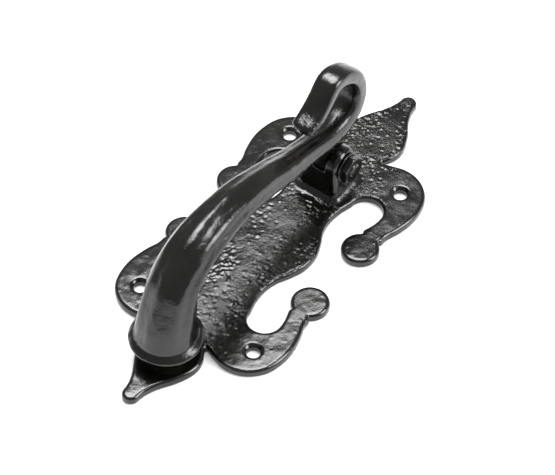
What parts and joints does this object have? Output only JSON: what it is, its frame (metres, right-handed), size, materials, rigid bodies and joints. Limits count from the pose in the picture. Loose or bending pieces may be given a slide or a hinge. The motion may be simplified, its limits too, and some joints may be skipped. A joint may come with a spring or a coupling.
{
  "type": "door knocker",
  "caption": "Black iron door knocker: a long flat backplate with scroll arms and leaf ends, and a tapered hinged arm with a flared foot and an open crook.",
  "frame": {"origin": "middle of the backplate's flat back face", "axes": "+X across the plate towards the nut end of the pivot bolt, +Y along the plate towards the hinge end, +Z out of the door"},
  "size_m": [0.073, 0.18, 0.0604],
  "materials": {
    "plate_iron": "hammered, black satin gloss paint",
    "arm_iron": "smooth, black gloss paint",
    "bolt_steel": "black paint",
    "washer_steel": "black paint"
  },
  "bodies": {
    "plate": {"backplate": "plate_iron", "pivot_bolt": "bolt_steel", "pivot_nut": "bolt_steel", "washer_nut_side": "washer_steel", "washer_head_side": "washer_steel"},
    "arm": {"knocker_arm": "arm_iron"}
  },
  "joints": [
    {"name": "knocker_hinge", "type": "hinge", "parent": "plate", "child": "arm", "pos_m": [0, 0.0349, 0.0176], "axis": [-1, 0, 0], "range_deg": [0, 72]}
  ]
}
